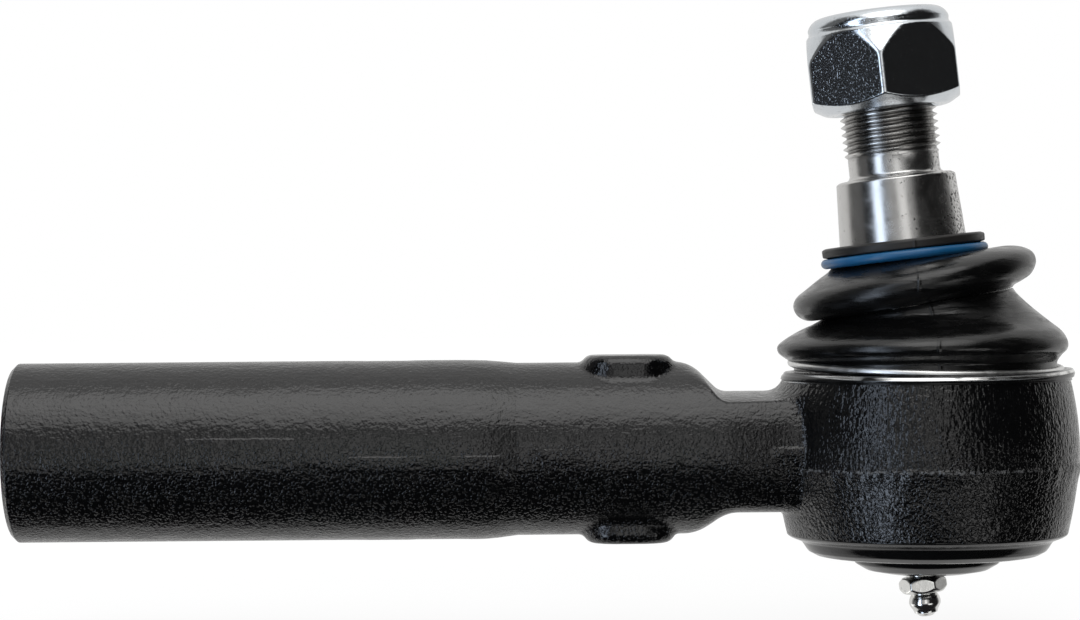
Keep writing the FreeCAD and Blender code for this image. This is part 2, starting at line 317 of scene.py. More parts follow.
def carved(name, field, low, high, cell, place=None):
    """Mesh of the surface where a field is 0, moved with place, shaded by the field's own normals."""
    axes = [np.arange(lo, hi + cell, cell) for lo, hi in zip(low, high)]
    value = field(*np.meshgrid(*axes, indexing="ij", sparse=True))
    value = np.broadcast_to(value, [len(a) for a in axes])
    inside = value < 0
    halves = slice(None, -1), slice(1, None)
    filled = sum(inside[halves[i], halves[j], halves[k]].astype(np.int8) for i, j, k in CORNERS)
    active = (filled > 0) & (filled < len(CORNERS))
    cells = np.argwhere(active)
    index = np.full(active.shape, -1, np.int64)
    index[active] = np.arange(len(cells))
    faces = crossing_faces(inside, index)
    points = settled(field, np.array(low) + crossing_points(value, cells) * cell, faces)
    g = slope_of(field, points)
    normals = g / np.maximum(np.linalg.norm(g, axis=1), 1e-6)[:, None]
    if place:
        points, normals = place(points), place(normals, turning=True)
    mesh = mesh_of(name, points, faces)
    mesh.shade_smooth()
    mesh.update()
    mesh.normals_split_custom_set_from_vertices(normals.tolist())
    return mesh


# ---------------------------------------------------------------- shader building

def add(tree, kind, *values, settings=None, **named):
    """Adds a shader node. Values go to its inputs in order or by name; a socket is linked."""
    made = tree.nodes.new(kind)
    for key, value in (settings or {}).items():
        setattr(made, key, value)
    pairs = list(enumerate(values)) + [(key.replace("_", " "), value) for key, value in named.items()]
    for key, value in pairs:
        socket = made.inputs[key]
        if isinstance(value, bpy.types.NodeSocket):
            tree.links.new(value, socket)
        elif value is not None:
            socket.default_value = value
    return made


def maths(tree, operation, *values):
    """Shader value worked out from others."""
    return add(tree, "ShaderNodeMath", *values, settings={"operation": operation}).outputs[0]


def times(tree, product, *factors):
    """Product of shader values."""
    for factor in factors:
        product = maths(tree, "MULTIPLY", product, factor)
    return product


def from_axis(tree, x, y):
    """Distance from the housing's axis."""
    return maths(tree, "SQRT", maths(tree, "ADD", times(tree, x, x), times(tree, y, y)))


def ramp(tree, value, low, high, out_low=0.0, out_high=1.0):
    """Smooth step of a value from one range to another."""
    return add(tree, "ShaderNodeMapRange", value, low, high, out_low, out_high,
               settings={"interpolation_type": "SMOOTHSTEP"}).outputs[0]


def mix(tree, share, a, b):
    """Colour between a and b."""
    made = add(tree, "ShaderNodeMix", settings={"data_type": "RGBA"})
    for socket, value in ((made.inputs["Factor"], share), (made.inputs[6], a), (made.inputs[7], b)):
        if isinstance(value, bpy.types.NodeSocket):
            tree.links.new(value, socket)
        elif socket.type == "RGBA":
            socket.default_value = (*value, 1)
        else:
            socket.default_value = value
    return made.outputs[2]


def noise(tree, place, scale, detail=2.0, roughness=0.5, distortion=0.0):
    """Cloudy value between 0 and 1, with scale clouds to the millimetre."""
    return add(tree, "ShaderNodeTexNoise", Vector=place, Scale=scale, Detail=detail, Roughness=roughness,
               Distortion=distortion).outputs[0]


def stretched(tree, place, size):
    """Coordinates scaled on each axis."""
    return add(tree, "ShaderNodeVectorMath", place, size, settings={"operation": "MULTIPLY"}).outputs[0]


def new_material(name):
    """Material with its tree, its main shader and coordinates in millimetres."""
    made = bpy.data.materials.new(name)
    made.use_nodes = True
    tree = made.node_tree
    main = tree.nodes["Principled BSDF"]
    where = add(tree, "ShaderNodeTexCoord").outputs["Object"]
    place = stretched(tree, where, (1 / MM, 1 / MM, 1 / MM))
    return made, tree, main, place


def coat(tree, main, colour, rough, *layers):
    """Gives the shader a colour, a roughness and stacked bump layers of (height, depth in millimetres)."""
    link(tree, colour, main.inputs["Base Color"])
    link(tree, rough, main.inputs["Roughness"])
    normal = None
    for height, depth in layers:
        made = add(tree, "ShaderNodeBump", Strength=1.0, Distance=depth * MM, Height=height)
        if normal:
            tree.links.new(normal, made.inputs["Normal"])
        normal = made.outputs[0]
    tree.links.new(normal, main.inputs["Normal"])


def link(tree, value, socket):
    """Leads a shader value to a socket."""
    tree.links.new(value, socket)


def parts_of(tree, place):
    """X, Y and Z of a place."""
    return add(tree, "ShaderNodeSeparateXYZ", place).outputs


CUP_FROM, CUP_FULL = 33.5, 31.8  # off-axis distances where the cup's look starts and is full
PARTING = -3.5  # height of the edge that the dies leave round the cup


def forging_paint():
    """Thick black paint over a forged skin: orange peel, lumps, drawn-out wrinkles on the cup."""
    made, tree, main, place = new_material("forging_paint")
    x, y, z = parts_of(tree, place)
    off_axis = from_axis(tree, x, y)
    cup = times(tree, ramp(tree, off_axis, CUP_FROM, CUP_FULL), ramp(tree, z, -4.6, -3.6, 0.35, 1.0))
    lumps = noise(tree, place, 0.22, 2.0, 0.5, 0.6)
    flow = noise(tree, stretched(tree, place, (0.22, 1.0, 1.0)), 0.75, 2.0, 0.5)
    drawn = times(tree, noise(tree, stretched(tree, place, (1.0, 1.0, 0.38)), 1.35, 1.0, 0.5), cup)
    coarse = ramp(tree, off_axis, 34.0, CUP_FULL, 0.75, 1.35)
    peel = times(tree, noise(tree, place, 1.35, 1.0, 0.5), coarse)
    low_down = ramp(tree, z, 6.0, -3.0, 0.2, 1.0)
    beads = times(tree, ramp(tree, noise(tree, place, 2.0, 0.5, 0.5), 0.5, 0.72), low_down)
    shade = noise(tree, place, 0.09, 3.0, 0.6)
    specks = ramp(tree, noise(tree, place, 2.6, 1.0, 0.4), 0.735, 0.79)
    base = mix(tree, shade, (0.0018, 0.0019, 0.0022), (0.0035, 0.0035, 0.0038))
    base = mix(tree, times(tree, specks, 0.3), base, (0.04, 0.04, 0.04))
    level = maths(tree, "ADD", z, noise(tree, place, 0.5, 3.0, 0.6))
    worn = times(tree, ramp(tree, level, PARTING - 0.35, PARTING - 0.1),
                 ramp(tree, level, PARTING + 0.4, PARTING + 0.15),
                 ramp(tree, noise(tree, place, 1.1, 2.0, 0.6), 0.44, 0.58),
                 ramp(tree, off_axis, 34.0, 32.0), 0.5)
    rough = ramp(tree, noise(tree, place, 0.35, 3.0, 0.6), 0.3, 0.7, 0.1, 0.2)
    coat(tree, main, mix(tree, worn, base, (0.22, 0.22, 0.22)), rough,
         (lumps, 0.16), (flow, 0.07), (drawn, 0.2), (peel, 0.14), (beads, 0.075))
    return made


def smooth_paint(name="smooth_paint"):
    """The same black paint where it lies on turned or rolled surfaces."""
    made, tree, main, place = new_material(name)
    shade = noise(tree, place, 0.2, 2.0, 0.5)
    rough = ramp(tree, noise(tree, place, 0.5, 3.0, 0.6), 0.3, 0.7, 0.1, 0.2)
    sags = noise(tree, stretched(tree, place, (0.5, 0.5, 1.0)), 0.55, 2.0, 0.5)
    coat(tree, main, mix(tree, shade, (0.003, 0.003, 0.0035), (0.007, 0.007, 0.007)), rough,
         (sags, 0.06), (noise(tree, place, 2.2, 2.0, 0.5), 0.006))
    return made


# Edges of the lip where the paint is rubbed off: from, to, how softly, how much.
RUBBED_EDGES = ((15.0, 15.6, 0.15, 1.0), (13.3, 13.6, 0.15, 0.6))


def worn_paint():
    """Smooth paint, rubbed down to bare metal along the lip's two edges."""
    made = smooth_paint("worn_paint")
    tree = made.node_tree
    main = tree.nodes["Principled BSDF"]
    place = stretched(tree, add(tree, "ShaderNodeTexCoord").outputs["Object"], (1 / MM, 1 / MM, 1 / MM))
    x, y, z = parts_of(tree, place)
    front = ramp(tree, y, 0.0, -30.0)
    level = maths(tree, "ADD", z, times(tree, front, front, LIP_SAG))
    rubbed = ramp(tree, noise(tree, stretched(tree, place, (0.3, 0.3, 1.0)), 0.35, 2.0, 0.5), 0.36, 0.5)
    edges = None
    for low, high, soft, amount in RUBBED_EDGES:
        above = ramp(tree, level, low - soft, low + soft)
        below = ramp(tree, level, high - soft, high + soft, amount, 0.0)
        edge = times(tree, above, below)
        edges = maths(tree, "MAXIMUM", edges, edge) if edges else edge
    bare = times(tree, edges, rubbed, ramp(tree, from_axis(tree, x, y), 29.2, 29.5))
    painted = main.inputs["Base Color"].links[0].from_socket
    link(tree, mix(tree, bare, painted, (0.85, 0.85, 0.84)), main.inputs["Base Color"])
    link(tree, bare, main.inputs["Metallic"])
    return made


def rubber(name, tint, rough_low, rough_high):
    """Moulded black rubber, satin, with smudges of grease and a powdery bloom."""
    made, tree, main, place = new_material(name)
    cloud = noise(tree, place, 0.13, 4.0, 0.6, 0.4)
    dust = ramp(tree, noise(tree, place, 1.4, 3.0, 0.7), 0.62, 0.78)
    base = mix(tree, cloud, tuple(0.7 * c for c in tint), tuple(1.3 * c for c in tint))
    smear = noise(tree, stretched(tree, place, (0.35, 0.35, 1.6)), 0.45, 3.0, 0.55, 0.5)
    creases = noise(tree, stretched(tree, place, (0.25, 0.25, 1.9)), 0.8, 2.0, 0.5, 0.5)
    coat(tree, main, mix(tree, times(tree, dust, 0.22), base, (0.04, 0.038, 0.035)),
         ramp(tree, smear, 0.35, 0.65, rough_low, rough_high),
         (creases, 0.07), (noise(tree, place, 2.4, 3.0, 0.55), 0.012))
    return made


def ring_plastic():
    """Blue plastic of the upper clamp ring."""
    made, tree, main, place = new_material("ring_plastic")
    shade = noise(tree, stretched(tree, place, (0.3, 0.3, 1.0)), 0.9, 3.0, 0.6)
    base = mix(tree, shade, (0.006, 0.085, 0.21), (0.012, 0.135, 0.31))
    # Random dark patches of grime on the plastic.
    darkening = ramp(tree, noise(tree, place, 0.6, 4.0, 0.7), 0.6, 0.72)
    coat(tree, main, mix(tree, times(tree, darkening, 0.5), base, (0.02, 0.03, 0.05)),
         ramp(tree, shade, 0.3, 0.7, 0.3, 0.45), (noise(tree, place, 1.6, 3.0, 0.6), 0.012))
    return made


def dot(tree, a, b):
    """How far a place reaches along a direction, or the square of its length."""
    return add(tree, "ShaderNodeVectorMath", a, b, settings={"operation": "DOT_PRODUCT"}).outputs["Value"]


def turned_steel():
    """Turned steel with tool marks and rust pits, its thread darkened towards the roots as painted shade."""
    made, tree, main, place = new_material("turned_steel")
    height = dot(tree, place, tuple(STUD_AXIS))
    marks = add(tree, "ShaderNodeTexNoise", settings={"noise_dimensions": "1D"}, W=height, Scale=5.0,
                Detail=3.0, Roughness=0.6).outputs[0]
    thread = ramp(tree, height, 59.4, 61.2)
    stain = noise(tree, place, 0.16, 4.0, 0.65, 0.6)
    far_side = times(tree, ramp(tree, parts_of(tree, place)[0], -8.0, 7.5), 0.15)
    pits = ramp(tree, maths(tree, "ADD", noise(tree, place, 1.7, 3.0, 0.6), far_side), 0.67, 0.71)
    rust = ramp(tree, noise(tree, place, 0.8, 4.0, 0.7), 0.62, 0.74)
    bright = mix(tree, stain, (0.5, 0.495, 0.485), (0.7, 0.695, 0.685))
    worn = mix(tree, times(tree, rust, 0.4), bright, (0.2, 0.13, 0.09))
    squared = maths(tree, "SUBTRACT", dot(tree, place, place), times(tree, height, height))
    off_axis = maths(tree, "SQRT", squared)
    # Painted shade: the thread is darkened in its roots, below the crests, where the recesses lie.
    darkening = times(tree, thread, ramp(tree, off_axis, 9.65, 9.2, 0.0, 0.75))
    root_shaded = mix(tree, darkening, worn, (0.07, 0.065, 0.06))
    main.inputs["Metallic"].default_value = 1.0
    coat(tree, main, mix(tree, times(tree, pits, 0.85), root_shaded, (0.02, 0.017, 0.015)),
         ramp(tree, stain, 0.3, 0.7, 0.17, 0.28),
         (marks, 0.004), (times(tree, pits, -1.0), 0.012), (noise(tree, place, 3.0, 2.0, 0.5), 0.004))
    return made


def zinc(name, speckle, tint):
    """Bright zinc plating, finely crystalline, with small knocks."""
    made, tree, main, place = new_material(name)
    grain = noise(tree, place, 4.2, 3.0, 0.65)
    shade = noise(tree, place, 0.22, 3.0, 0.6)
    knocks = ramp(tree, noise(tree, place, 0.9, 2.0, 0.5), 0.66, 0.74)
    base = mix(tree, shade, tuple(0.8 * c for c in tint), tint)
    crystals = ramp(tree, noise(tree, place, 2.7, 1.0, 0.4), 0.6, 0.72)
    main.inputs["Metallic"].default_value = 1.0
    coat(tree, main, mix(tree, times(tree, knocks, 0.4), base, (0.3, 0.31, 0.33)),
         ramp(tree, grain, 0.35, 0.65, 0.1, 0.2),
         (noise(tree, place, 0.6, 2.0, 0.5), 0.015), (grain, 0.3 * speckle), (crystals, 0.55 * speckle))
    return made


def plain_steel(name, tint, rough, depth):
    """Drawn or ground steel of the wire ring and the small hidden parts."""
    made, tree, main, place = new_material(name)
    shade = noise(tree, place, 0.6, 3.0, 0.6)
    main.inputs["Metallic"].default_value = 1.0
    coat(tree, main, mix(tree, shade, tuple(0.75 * c for c in tint), tint),
         ramp(tree, shade, 0.3, 0.7, rough, rough + 0.12), (noise(tree, place, 3.0, 2.0, 0.5), depth))
    return made


def plastic(name, tint, rough):
    """Moulded natural plastic with faint flow marks."""
    made, tree, main, place = new_material(name)
    shade = noise(tree, place, 0.3, 3.0, 0.6)
    main.inputs["Subsurface Weight"].default_value = 0.15
    main.inputs["Subsurface Radius"].default_value = (0.002, 0.0018, 0.0014)
    coat(tree, main, mix(tree, shade, tuple(0.88 * c for c in tint), tint),
         ramp(tree, shade, 0.3, 0.7, rough, rough + 0.15), (noise(tree, place, 1.5, 3.0, 0.55), 0.01))
    return made


# ---------------------------------------------------------------- pieces

def show(mesh, finish, body, slot, *stands_for):
    """Puts a mesh in the scene as a piece that rides on a body and stands for CAD nodes."""
    made = bpy.data.objects.new(mesh.name, mesh)
    bpy.context.collection.objects.link(made)
    mesh.materials.append(finish)
    if body:
        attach(made, body)
    if stands_for:
        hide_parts(*stands_for)
    return made


paint = forging_paint()
gloss = smooth_paint()
black_rubber = rubber("boot_rubber", (0.004, 0.004, 0.004), 0.16, 0.32)
lip_rubber = rubber("lip_rubber", (0.013, 0.0115, 0.0105), 0.42, 0.6)
steel = turned_steel()
nut_zinc = zinc("nut_zinc", 0.018, (0.76, 0.8, 0.84))
nipple_zinc = zinc("nipple_zinc", 0.006, (0.86, 0.86, 0.84))
wire = plain_steel("ring_wire", (0.93, 0.93, 0.92), 0.28, 0.003)

# Housing: the forged part.
SHANK_RADIUS = 17.68
FORGED_FROM = -85.6  # the turned end of the shank takes over here
CUP_TOP, CUP_FOOT, CUP_HOLLOW = 13.9, -18.15, 24.0
CUP_RADIUS, CUP_MIDDLE, CUP_STEP = 31.2, -1.5, -4.2  # the dies' step is just below the middle
NECK_TOP, NECK_FOOT, NECK_HALF = 11.5, -13.3, 14.85  # the neck's flats, and half its width at their level
PAD_MIDDLE = -61.3
PAD_X, PAD_Y, PAD_Z = 9.4, 10.4, 19.15  # half the size of the two spanner pads, as one block
PAD_CORNER, PAD_EDGE = 6.8, 2.3


def cup_radius(x, y, z):
    """The cup's barrel, with the ragged ridge and small step that the two dies leave between them."""
    above = CUP_RADIUS - 1.8 * (np.clip(z - CUP_MIDDLE, 0, None) / 15.0) ** 2
    below = -2.5 * (np.clip(CUP_MIDDLE - z, 0, None) / 16.7) ** 1.6
    step = -0.1 * fade(z, CUP_STEP, CUP_STEP - 2.5)
    angle = np.arctan2(y, x)
    ragged = 0.7 + 0.3 * np.sin(17 * angle + 1) * np.sin(41 * angle)
    ridge = 0.42 * ragged * hump(z + 4.0 - 0.12 * np.sin(9 * angle), 0.6, 2.4)
    return above + below + step + ridge


def shank_and_neck(x, y, z):
    """Forged shank with its trimmed flash, cut in above and below towards the cup to leave the neck."""
    slimmer = 1 + 0.06 * smooth_step(fade(x, -44.0, -25.0))
    near_cup = fade(x, -33.5, -31.0)
    near_pads = fade(x, -80.5, -78.5) * fade(x, -71.0, -73.0)
    flash = (0.4 * near_cup + 0.2 * near_pads) * hump(z - 0.1, 0.5, 2.0)
    shank = np.sqrt((slimmer * y) ** 2 + z * z) - SHANK_RADIUS - flash
    crown = (y / NECK_HALF) ** 2
    shelf_top = z - (NECK_TOP - 1.9 * crown)
    ramp_top = ((x + 45.3) + (z - 14.3 + 2.1 * crown)) * math.sqrt(0.5)
    shelf_low = NECK_FOOT + 1.2 * crown - z
    ramp_low = 0.62 * (x + 44.6) - 0.785 * (z + 15.5 - 1.2 * crown)
    soft_top = 0.35 + 2.0 * fade(z, 13.0, 16.0)
    neck = smooth_max(shank, smooth_min(shelf_top, ramp_top, 1.2), soft_top)
    return smooth_max(neck, smooth_min(shelf_low, ramp_low, 1.7), 1.8)


def housing_field(x, y, z):
    """Signed distance, near enough, to the forged part of the housing."""
    past_x = np.abs(x - PAD_MIDDLE) - (PAD_X - PAD_CORNER)
    past_y = np.abs(y) - (PAD_Y - PAD_CORNER)
    plan = rounded_corner(past_x, past_y, PAD_CORNER)
    pads = rounded_corner(plan + PAD_EDGE, np.abs(z) - (PAD_Z - PAD_EDGE), PAD_EDGE)
    bar = smooth_min(shank_and_neck(x, y, z), pads, 1.1)
    bar = np.maximum(bar, np.maximum(FORGED_FROM - x, x + 20.0))
    out = np.sqrt(x * x + y * y)
    cup = smooth_max(out - cup_radius(x, y, z), np.maximum(z - CUP_TOP, CUP_FOOT - z), 0.3)
    joint = 1.0 + 2.4 * fade(z, 7.0, 11.0)
    return smooth_max(smooth_min(bar, cup, joint), CUP_HOLLOW - out, 0.3)


FORGING_BOX = (FORGED_FROM - 1.3, -33.0, -21.0), (33.0, 33.0, 21.5)
FORGING_CELL, NUT_CELL, NIPPLE_CELL = 0.52, 0.3, 0.15

forging = carved("housing_forging", housing_field, *FORGING_BOX, FORGING_CELL)
show(forging, paint, "housing_body", "black_paint", "housing")

# Housing: the lip, bead and spigot above the forging, and the edge rolled over the cover below it.
wide = columns(224)
rim = rounded([
    (24.2, 11.5), (29.2, 11.6, 0.3), (29.4, 13.1, 0.2), (29.75, 13.35, 0.2), (29.7, 13.8, 0.15),
    (30.1, 14.0, 0.2), (30.35, 14.9, 0.8), (29.9, 15.75, 0.6), (28.9, 15.8, 0.4), (28.3, 15.2, 0.3),
    (24.6, 15.2, 0.2), (24.4, 17.6, 0.3), (22.0, 17.8, 0.2), (20.0, 17.8, 0.3), (16.9, 11.9, 0.4),
    (20.3, 11.5), (24.2, 11.5)])
rim_rings = lathe(rim, wide)
raised = fade(rim_rings[..., 2], 13.2, 15.2)
shank_side = fade(rim_rings[..., 0], 0, -30.0)
rim_rings[..., 2] -= raised * (LIP_SAG * fade(rim_rings[..., 1], 0, -30.0) ** 2 + 0.4 * shank_side)
rim_rings[..., 0] += raised * shank_side
show(skin("housing_rim", rim_rings), worn_paint(), "housing_body", "black_paint", "housing")
foot = rounded([
    (24.2, -16.2), (27.6, -16.6, 0.2), (28.62, -17.4, 0.3), (28.66, -18.1, 0.45), (27.9, -18.6, 0.4),
    (25.7, -19.45, 1.2), (24.75, -20.9, 1.3), (24.3, -21.5, 0.9), (22.7, -22.35, 1.0), (21.3, -22.6, 0.9),
    (19.8, -22.45, 0.5), (19.45, -21.9, 0.4), (19.5, -20.95, 0.1), (22.8, -20.9), (22.9, -18.8),
    (24.2, -16.2)])
show(skin("housing_foot", lathe(foot, wide)), gloss, "housing_body", "black_paint", "housing")

# Housing: the turned end of the shank, with its M24 female thread and the parting line left on it.
TURNED_RADIUS = 18.4
SHANK_END, MOUTH, THREAD_END, BORE_FLOOR = -187.3, -186.0, -94.5, -92.0
BORE_MINOR, BORE_MAJOR = 11.19, 12.0
PITCH = 1.5  # of the shank's thread and of the stud's
RUN_OUT = 1.6
LINE_HEIGHT, LINE_JOG = 3.3, 3.85  # the parting line's upper edge at the shank's end, and its fall at the jog
LINE_WIDTH, LINE_RISE, LINE_EDGE = 2.9, 0.045, 0.13
GAP_SPACING = 21.8


def parting_line(radius, angle, place):
    """Leaves the ground-off flash of the forging as a low band along both sides."""
    side = np.sin(angle) * TURNED_RADIUS
    jog = smooth_step(fade(place, -130.5, -118.0))
    course = LINE_HEIGHT - LINE_JOG * jog
    gaps = np.clip(0.5 + 2.0 * np.sin(TURN * (place + 116.6) / GAP_SPACING), 0.15, 1)
    ends = fade(place, -157, -145) * fade(place, -84, -88)
    flat = fade(place, -125, -122) * fade(place, -91, -94)
    upper_edge = np.tanh((course - side) / LINE_EDGE)
    lower_edge = np.tanh((course - LINE_WIDTH - side) / (LINE_EDGE + 1.6 * (1 - flat)))
    band = LINE_RISE * ends * ((1 + gaps * (0.2 + 1.4 * jog)) * upper_edge - lower_edge)
    return radius + np.where(radius > BORE_MAJOR + 3.0, band, 0.0)


def bore_radius(place, share):
    """Radius of the female thread, faded out at the mouth and at the bottom."""
    full = fade(place, MOUTH, MOUTH + RUN_OUT) * fade(place, THREAD_END, THREAD_END - RUN_OUT)
    depth = (BORE_MAJOR - BORE_MINOR) * full
    countersink = (MOUTH - SHANK_END) * fade(place, MOUTH, SHANK_END)
    return BORE_MINOR + np.maximum(depth * (1 - share), countersink)


shank_columns = columns(92, (0.0, math.pi), 0.21, 61)
shank_outline = rounded([
    (12.5, SHANK_END), (17.4, SHANK_END, 0.25), (TURNED_RADIUS, -186.3, 0.35),
    (TURNED_RADIUS, -90.4, 40.0), (17.45, -82.0, 0.05), (17.2, -81.8), (0, -81.8)])
outer_rings = lathe(subdivided(shank_outline), shank_columns, parting_line)
bore_rings = screw(shank_columns, SHANK_END, BORE_FLOOR, PITCH, BORE_FORM, bore_radius)
floor_rings = lathe(np.array([(0, -88.0), (BORE_MINOR, -88.1), (BORE_MINOR, BORE_FLOOR)]), shank_columns)
shank_rings = np.concatenate([floor_rings, bore_rings[::-1], outer_rings])
show(skin("shank_turned", along_shank(shank_rings), 30.0), paint, "housing_body", "black_paint", "housing")

# Cover plate with its dome.
cover = rounded([
    (0, -22.6), (8, -22.6, 1), (12.2, -22.1, 1), (15, -18.7, 1), (22.7, -18.7), (22.7, -20.8, 0.3),
    (17.8, -20.85, 1.0), (16.2, -21.4, 0.8), (15.5, -22.7, 0.9), (14.7, -24.1, 1.2), (12.3, -25.5, 2.4),
    (8.4, -26.2, 3.0), (4.6, -26.35, 2.0), (0, -26.37)])
show(skin("cover_dome", lathe(cover, columns(160))), gloss, "housing_body", "cover_paint", "cover_plate")

# Ball stud with its rolled M20 thread.
BALL_RADIUS, RELIEF_RADIUS = 17.0, 9.3
THREAD_MAJOR, THREAD_CORE = 9.95, 9.05
THREAD_FROM, STUD_TIP = 59.7, 87.0


def thread_radius(height, share):
    """Thread, run out into the relief at the bottom and cut by the chamfer at the tip."""
    form = THREAD_CORE + (THREAD_MAJOR - THREAD_CORE) * share
    radius = RELIEF_RADIUS + (form - RELIEF_RADIUS) * fade(height, THREAD_FROM, THREAD_FROM + 1.3)
    return np.minimum(radius, 8.6 + (STUD_TIP - height) * 0.95)


stud_columns = columns(168)
ball_angles = np.linspace(math.radians(-65.7), math.radians(55.8), 40)
ball_arc = [(BALL_RADIUS * math.cos(a), BALL_RADIUS * math.sin(a)) for a in ball_angles]
stem = rounded([
    (9.56, 14.06), (9.5, 16.5, 1.2), (9.5, 30.0, 3.0), (12.6, 37.6, 0.6), (13.12, 39.3, 0.3),
    (12.2, 55.1, 0.55), (11.4, 55.5, 0.3), (RELIEF_RADIUS, 55.62, 1.3), (RELIEF_RADIUS, THREAD_FROM)])
base_rings = lathe(np.concatenate([[(0, -15.5), (7.0, -15.5)], ball_arc, stem]), stud_columns)
thread_rings = screw(stud_columns, THREAD_FROM, STUD_TIP, PITCH, THREAD_FORM, thread_radius)
tip = rounded([(8.6, STUD_TIP), (8.45, STUD_TIP + 0.03), (2.6, STUD_TIP, 0.4), (1.4, STUD_TIP - 1.2, 0.3),
               (0, STUD_TIP - 2.0)])
stud = on_stud(np.concatenate([base_rings, thread_rings, lathe(tip, stud_columns)]))
show(skin("stud", stud, 32.0), steel, "stud_body", "stud_steel", "ball_stud")

# Lock nut: hexagon, steep top cone, groove, collar rolled over the nylon ring.
NUT_BOTTOM, NUT_HEIGHT, NUT_TURN = 69.3, 20.2, math.radians(-7.8)
NUT_FLAT, NUT_CORNER = 15.0, 17.32
COLLAR_RADIUS, COLLAR_ROLL = 14.6, 3.1
GROOVE_RADIUS, GROOVE_HEIGHT = 15.25, 17.2
NUT_HOLES = ((12.45, 15.35, 18.65), (10.55, 18.0, 25.0))  # radius, from, to: the ring's seat, the opening
SLEEVE_RADIUS, SLEEVE_TOP = 11.15, 15.3  # outside of the threaded sleeve that lines the nut


def nut_field(x, y, z):
    """Signed distance, near enough, to the nut about its own axis, from its bottom up."""
    out = np.sqrt(x * x + y * y)
    body = hexagon_at(x, y, NUT_FLAT, NUT_TURN - math.radians(60), 0.7)
    cone = (out - NUT_CORNER) * 0.93 + (z - 10.4) * 0.368
    below = (out - 12.6) * 0.5 - z * 0.866
    for limit, blend in ((cone, 0.3), (below, 0.3), (np.maximum(-z, z - GROOVE_HEIGHT), 0.4)):
        body = smooth_max(body, limit, blend)
    roll_from = NUT_HEIGHT - COLLAR_ROLL
    collar = rounded_corner(out - (COLLAR_RADIUS - COLLAR_ROLL), z - roll_from, COLLAR_ROLL)
    whole = smooth_min(body, np.maximum(collar, 12.0 - z), 0.2)
    groove = np.sqrt((out - GROOVE_RADIUS) ** 2 + (z - GROOVE_HEIGHT) ** 2) - 0.85
    whole = smooth_max(whole, -groove, 0.3)
    for radius, low, high in NUT_HOLES:
        hole = np.maximum(out - radius, np.maximum(low - z, z - high))
        whole = smooth_max(whole, -hole, 0.3)
    return smooth_max(whole, -np.maximum(out - 11.0, z - 16.0), 0.2)


def on_nut(points, turning=False):
    """From heights above the nut's bottom to its place on the stud."""
    return on_stud(points if turning else points + np.array([0, 0, NUT_BOTTOM]))


nut = carved("lock_nut_hex", nut_field, (-18.6, -18.6, -0.9), (18.6, 18.6, 21.2), NUT_CELL, on_nut)
show(nut, nut_zinc, "nut_body", "nut_zinc", "lock_nut")


def nut_thread_radius(height, share):
    """Female thread with a countersunk mouth."""
    return np.maximum(9.25 + 0.85 * share, 9.3 + 1.5 * fade(height, NUT_BOTTOM + 1.5, NUT_BOTTOM))


sleeve_foot, sleeve_top = NUT_BOTTOM + 0.02, NUT_BOTTOM + SLEEVE_TOP
sleeve_in = screw(stud_columns, sleeve_foot, sleeve_top, PITCH, THREAD_FORM, nut_thread_radius)
sleeve_out = lathe(np.array([(SLEEVE_RADIUS, sleeve_top), (SLEEVE_RADIUS, sleeve_foot)]), stud_columns)
sleeve = on_stud(np.concatenate([sleeve_in, sleeve_out]))
show(skin("lock_nut_thread", sleeve, 32.0, closed=True), nut_zinc, "nut_body", "nut_zinc", "lock_nut")

# Rubber boot. Each key is a ring seen from the side: its point towards the shank, the one away from it,
# and how deep it is from front to back for its width.
LOWER_KEYS = (
    (-26.9, 15.5, 26.9, 15.5, 1.0), (-27.0, 16.3, 26.8, 16.2, 1.0), (-27.2, 17.2, 26.8, 17.2, 1.0),
    (-28.6, 18.0, 27.6, 18.4, 1.0), (-30.1, 19.2, 28.8, 19.7, 1.0), (-30.2, 20.7, 28.9, 21.3, 1.0),
    (-28.4, 22.2, 27.7, 23.4, 0.985), (-25.6, 23.8, 24.9, 25.7, 0.93), (-23.0, 25.0, 21.6, 28.4, 0.95),
    (-21.3, 25.9, 18.9, 30.9, 1.02), (-20.7, 26.2, 17.9, 32.2, 1.04))
UPPER_KEYS = (
    (-20.7, 26.25, 17.8, 32.4, 1.04), (-22.0, 25.9, 18.3, 33.0, 1.03), (-24.3, 25.8, 19.9, 33.9, 1.0),
    (-26.2, 26.9, 21.7, 35.3, 1.0), (-26.95, 28.8, 22.6, 37.6, 1.0), (-26.2, 30.6, 21.9, 39.6, 1.0),
    (-24.4, 32.1, 19.6, 40.7, 1.0), (-21.8, 34.2, 16.6, 40.9, 0.985), (-19.9, 35.6, 13.6, 40.4, 0.99),
    (-18.9, 36.7, 11.9, 40.1, 1.0))
LOWER_SEAM, UPPER_SEAM, LIP_SEAM = FRONT - 0.02, FRONT - 0.09, FRONT + 0.01
SEAM_WIDTH, FOLD_SEAM, HEAD_SEAM = 0.3, 0.12, 0.14  # half the seam's width, and how far it stands out
BOOT_WALL = 1.3
KEY_STEPS = 6


def through(keys):
    """Smooth course through the keys (Catmull-Rom)."""
    k = np.array(keys, float)
    k = np.concatenate([[2 * k[0] - k[1]], k, [2 * k[-1] - k[-2]]])
    out = []
    for i in range(1, len(k) - 2):
        for t in np.arange(KEY_STEPS) / KEY_STEPS:
            a, b, c, d = k[i - 1], k[i], k[i + 1], k[i + 2]
            out.append(0.5 * (2 * b + (c - a) * t + (2 * a - 5 * b + 4 * c - d) * t * t
                              + (3 * b - a - 3 * c + d) * t ** 3))
    out.append(k[-2])
    return np.array(out)


def inset(course, depth):
    """The same course a wall's thickness further in, on both sides."""
    out = course.copy()
    for first, side in ((0, 1), (2, -1)):
        run = np.gradient(course[:, first:first + 2], axis=0)
        run /= np.linalg.norm(run, axis=1)[:, None]
        out[:, first] += side * depth * np.abs(run[:, 1]) * 0.6 + side * depth * 0.4
        out[:, first + 1] += side * depth * -run[:, 0] * 0.8
    return out


